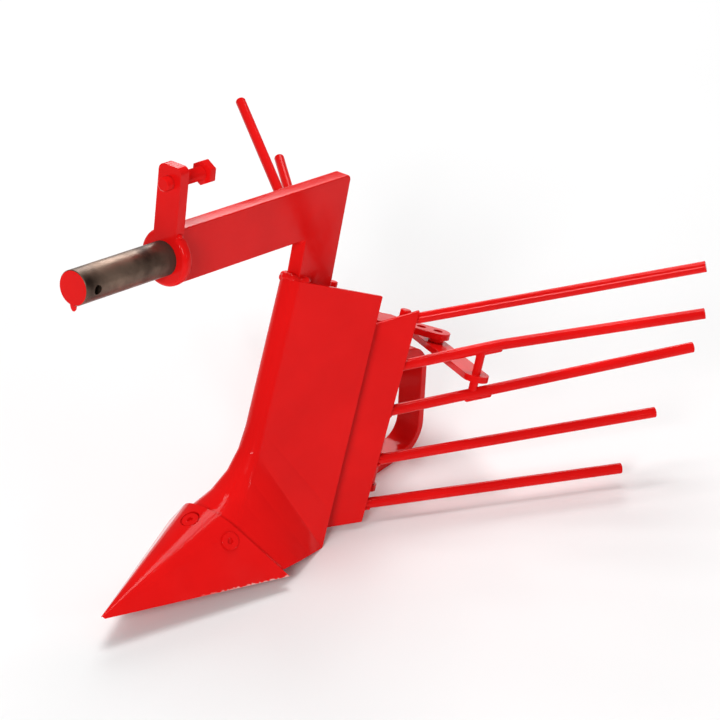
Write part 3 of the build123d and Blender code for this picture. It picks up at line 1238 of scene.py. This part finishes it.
@dataclass
class Wing:
    """One hinged wing: plate, sleeve, lifting rods and link pin. Sizes are in millimetres."""

    layout: Layout
    side: Side
    paint: Material
    nodes: tuple[str, ...] = (
        "wing", "hinge_sleeve", "link_pin", "rod_1", "rod_2", "rod_3", "rod_4", "rod_5")
    edge_radius: float = 0.7
    # rod: height at u = 0 and rise per unit of u, along its weld
    welded_rods: tuple[Pair, ...] = (
        (-75.7, 0.377), (-118.8, 0.371), (-166.2, 0.315), (-208.4, 0.285))
    rod_weld_u: Pair = (-28.0, -3.0)
    rod_radius: float = 5.0
    plate_back: float = 4.0
    pin_u: float = 69.7
    # staple: how far it runs past the pin, and how far it starts before it
    staple_length: float = 17.0
    staple_start: float = 3.0
    staple: WeldBead = WeldBead(2.6 * MM, pitch=2.2 * MM, sway=0.05)
    bead: float = 1.9
    # rod bead: distance from the rod's middle as a share of its radius, and off the plate
    bead_spread: float = 0.75
    bead_lift: float = 1.2

    def build(self) -> None:
        """Models and dresses the wing."""
        label = self.side.label
        body = f"wing_{label}_body"
        for node in self.nodes:
            Bench.paint_node(f"{node}_{label}", self.paint, body, self.edge_radius)
        welds = WeldBead(self.bead * MM).lay(f"rod_weld_{label}", self.rod_lines())
        Bench.dress(welds, self.paint, body)
        staples = self.staple.lay(f"staple_{label}", self.staple_lines())
        Bench.dress(staples, self.paint, body)

    def along_rod(self, rod: Pair, offset: float, back: float, ends: Pair) -> list[Vector]:
        """A line beside a rod.

        Args:
            rod: The rod's height at u = 0 and its rise.
            offset: How far above the rod's middle the line runs.
            back: How far behind the plate's face it runs.
            ends: Where it starts and ends, along u.

        Returns:
            The two ends of the line.
        """
        level, rise = rod
        return [self.layout.wing(self.side, u, level + rise * u + offset, back) for u in ends]

    def rod_lines(self) -> Lines:
        """Weld lines above and below each rod on the back of the plate.

        Returns:
            The lines.
        """
        back = self.plate_back + self.bead_lift
        reach = self.bead_spread * self.rod_radius
        return [self.along_rod(rod, offset, back, self.rod_weld_u)
                for rod in self.welded_rods for offset in (-reach, reach)]

    def staple_lines(self) -> Lines:
        """Lines of the link pin's bent ends, along the undersides of the second and third rods.

        Returns:
            The lines.
        """
        back = self.plate_back + self.rod_radius
        ends = (self.pin_u - self.staple_start, self.pin_u + self.staple_length)
        return [self.along_rod(rod, -self.rod_radius, back, ends) for rod in self.welded_rods[:2]]


@dataclass
class Links:
    """The two links that set the width, and the spacer between them."""

    paint: Material
    edge_radius: float = 0.8
    nodes: dict[str, str] = field(default_factory=lambda: {
        "link_left": "link_left_body", "link_right": "link_right_body", "link_spacer": "link_right_body"})

    def build(self) -> None:
        """Models and dresses the links."""
        for node, body in self.nodes.items():
            Bench.paint_node(node, self.paint, body, self.edge_radius)


@dataclass(frozen=True)
class Lamp:
    """A soft rectangular lamp that faces the implement, in metres and watts."""

    name: str
    place: Point
    size: Pair
    power: float
    aim: Point = (0.0, 0.0, 0.2)

    def hang(self) -> None:
        """Adds the lamp to the scene."""
        Bench.clear()
        turn = (Vector(self.aim) - Vector(self.place)).to_track_quat("-Z", "Y")
        bpy.ops.object.light_add(type="AREA", location=self.place, rotation=turn.to_euler())
        lamp = bpy.context.active_object
        lamp.name = f"lamp_{self.name}"
        lamp.data.shape = "RECTANGLE"
        lamp.data.size, lamp.data.size_y = self.size
        lamp.data.energy = self.power


@dataclass
class Studio:
    """Floor, lights and the camera at the photograph's place."""

    layout: Layout
    # on the drawbar axes, in millimetres
    camera_at: Point = (1482.1, -1659.2, 898.8)
    azimuth: float = math.radians(38.448)
    elevation: float = math.radians(30.041)
    roll: float = math.radians(0.364)
    lens: float = 150.0
    sensor: float = 36.0
    clip: Pair = (0.1, 60.0)
    floor_half: float = 12.0
    sky: float = 0.22
    lamps: tuple[Lamp, ...] = (
        Lamp("key", (1.1, -2.7, 1.6), (0.9, 0.9), 51.0),
        Lamp("top", (-0.4, 0.4, 2.8), (1.3, 1.3), 42.0),
        Lamp("back", (-1.9, 2.4, 1.9), (1.6, 1.6), 42.0),
        Lamp("side", (2.4, 0.25, 0.95), (1.2, 0.08), 6.0),
    )

    def build(self) -> None:
        """Sets up the studio."""
        self.floor()
        self.light()
        self.camera()

    def floor(self) -> None:
        """Lays the pale floor."""
        Bench.clear()
        bpy.ops.mesh.primitive_plane_add(size=2 * self.floor_half)
        floor = Bench.added("floor")
        floor.data.materials.append(StudioFloor().material())

    def light(self) -> None:
        """Sets the pale surroundings and hangs the soft lamps."""
        world = bpy.data.worlds.new("studio")
        world.use_nodes = True
        background = world.node_tree.nodes["Background"]
        background.inputs["Color"].default_value = (1, 1, 1, 1)
        background.inputs["Strength"].default_value = self.sky
        bpy.context.scene.world = world
        bpy.context.scene.view_settings.view_transform = "Standard"
        for lamp in self.lamps:
            lamp.hang()

    def camera(self) -> None:
        """Places the camera."""
        flat, rise = math.cos(self.elevation), math.sin(self.elevation)
        back = Vector((math.sin(self.azimuth) * flat, -math.cos(self.azimuth) * flat, rise))
        turn = (-back).to_track_quat("-Z", "Y") @ Quaternion((0, 0, 1), self.roll)
        Bench.clear()
        bpy.ops.object.camera_add(location=self.layout.bar(*self.camera_at), rotation=turn.to_euler())
        camera = bpy.context.active_object
        camera.data.lens = self.lens
        camera.data.sensor_width = self.sensor
        camera.data.clip_start, camera.data.clip_end = self.clip
        bpy.context.scene.camera = camera


def main() -> None:
    """Builds the sub-assemblies in order."""
    logging.basicConfig(level=logging.INFO, format="%(name)s: %(message)s")
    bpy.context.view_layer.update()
    layout = Layout.from_record(frame["record"], frame["joints"])
    paint = RedEnamel().material()
    Hitch(layout, paint).build()
    RidgingBody(layout, paint).build()
    for side in Side:
        Wing(layout, side, paint).build()
    Links(paint).build()
    Studio(layout).build()


if __name__ == "__main__":
    main()
